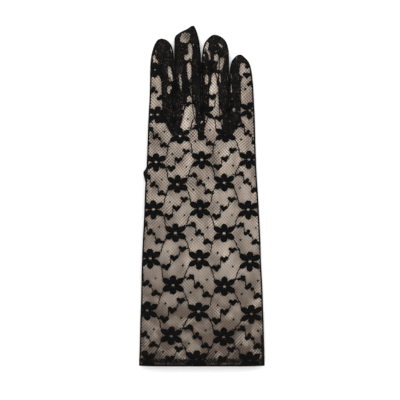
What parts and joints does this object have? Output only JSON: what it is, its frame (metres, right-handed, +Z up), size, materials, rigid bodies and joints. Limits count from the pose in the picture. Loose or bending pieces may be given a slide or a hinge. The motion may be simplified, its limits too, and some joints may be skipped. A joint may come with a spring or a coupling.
{
  "type": "short lace glove",
  "caption": "Right-hand glove of floral lace over a nude lining, lying flat on its palm with the thumb folded beneath it.",
  "frame": {"origin": "under the middle of the glove's box, on the surface it lies on", "axes": "+Y from the hem to the fingertips, +X to the little finger's side, +Z up out of the back of the hand"},
  "size_m": [0.0966, 0.2626, 0.0204],
  "materials": {
    "lace": "black floral lace, dull",
    "fourchette_lace": "black lace, doubled at the seams, dull",
    "hem": "black lace folded double, dull",
    "lining": "nude stretch cloth with a soft sheen"
  },
  "bodies": {
    "root": {"back_panel": "lace", "palm_panel": "lace", "thumb": "lace", "fourchette_index_middle": "fourchette_lace", "fourchette_middle_ring": "fourchette_lace", "fourchette_ring_little": "fourchette_lace", "cuff_hem": "hem", "lining_back": "lining", "lining_palm": "lining", "lining_thumb": "lining"}
  },
  "joints": []
}
